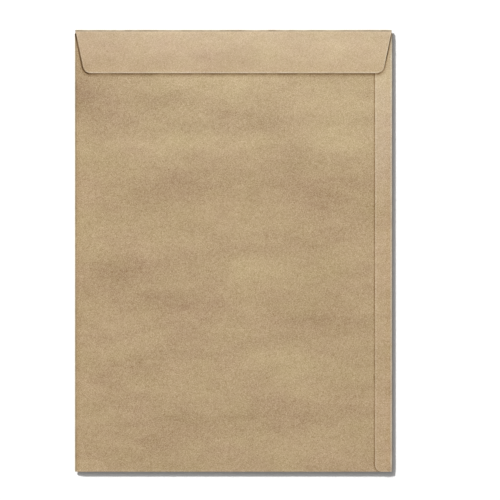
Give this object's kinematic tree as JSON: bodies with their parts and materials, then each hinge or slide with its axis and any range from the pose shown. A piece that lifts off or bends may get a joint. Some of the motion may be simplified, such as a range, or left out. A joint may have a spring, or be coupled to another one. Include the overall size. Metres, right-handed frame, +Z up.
{
  "type": "paper envelope",
  "caption": "Flat portrait pocket envelope folded from one sheet of brown kraft paper, with a top flap folded down and a glued side seam.",
  "frame": {"origin": "centre of the envelope's outline, on its underside", "axes": "+X to the right as the flap side is read, +Y towards the flap's fold, +Z up out of the flap side"},
  "size_m": [0.23, 0.32, 0.0027],
  "materials": {
    "kraft_paper": "matte"
  },
  "bodies": {
    "root": {"envelope_sheet": "kraft_paper"}
  },
  "joints": []
}
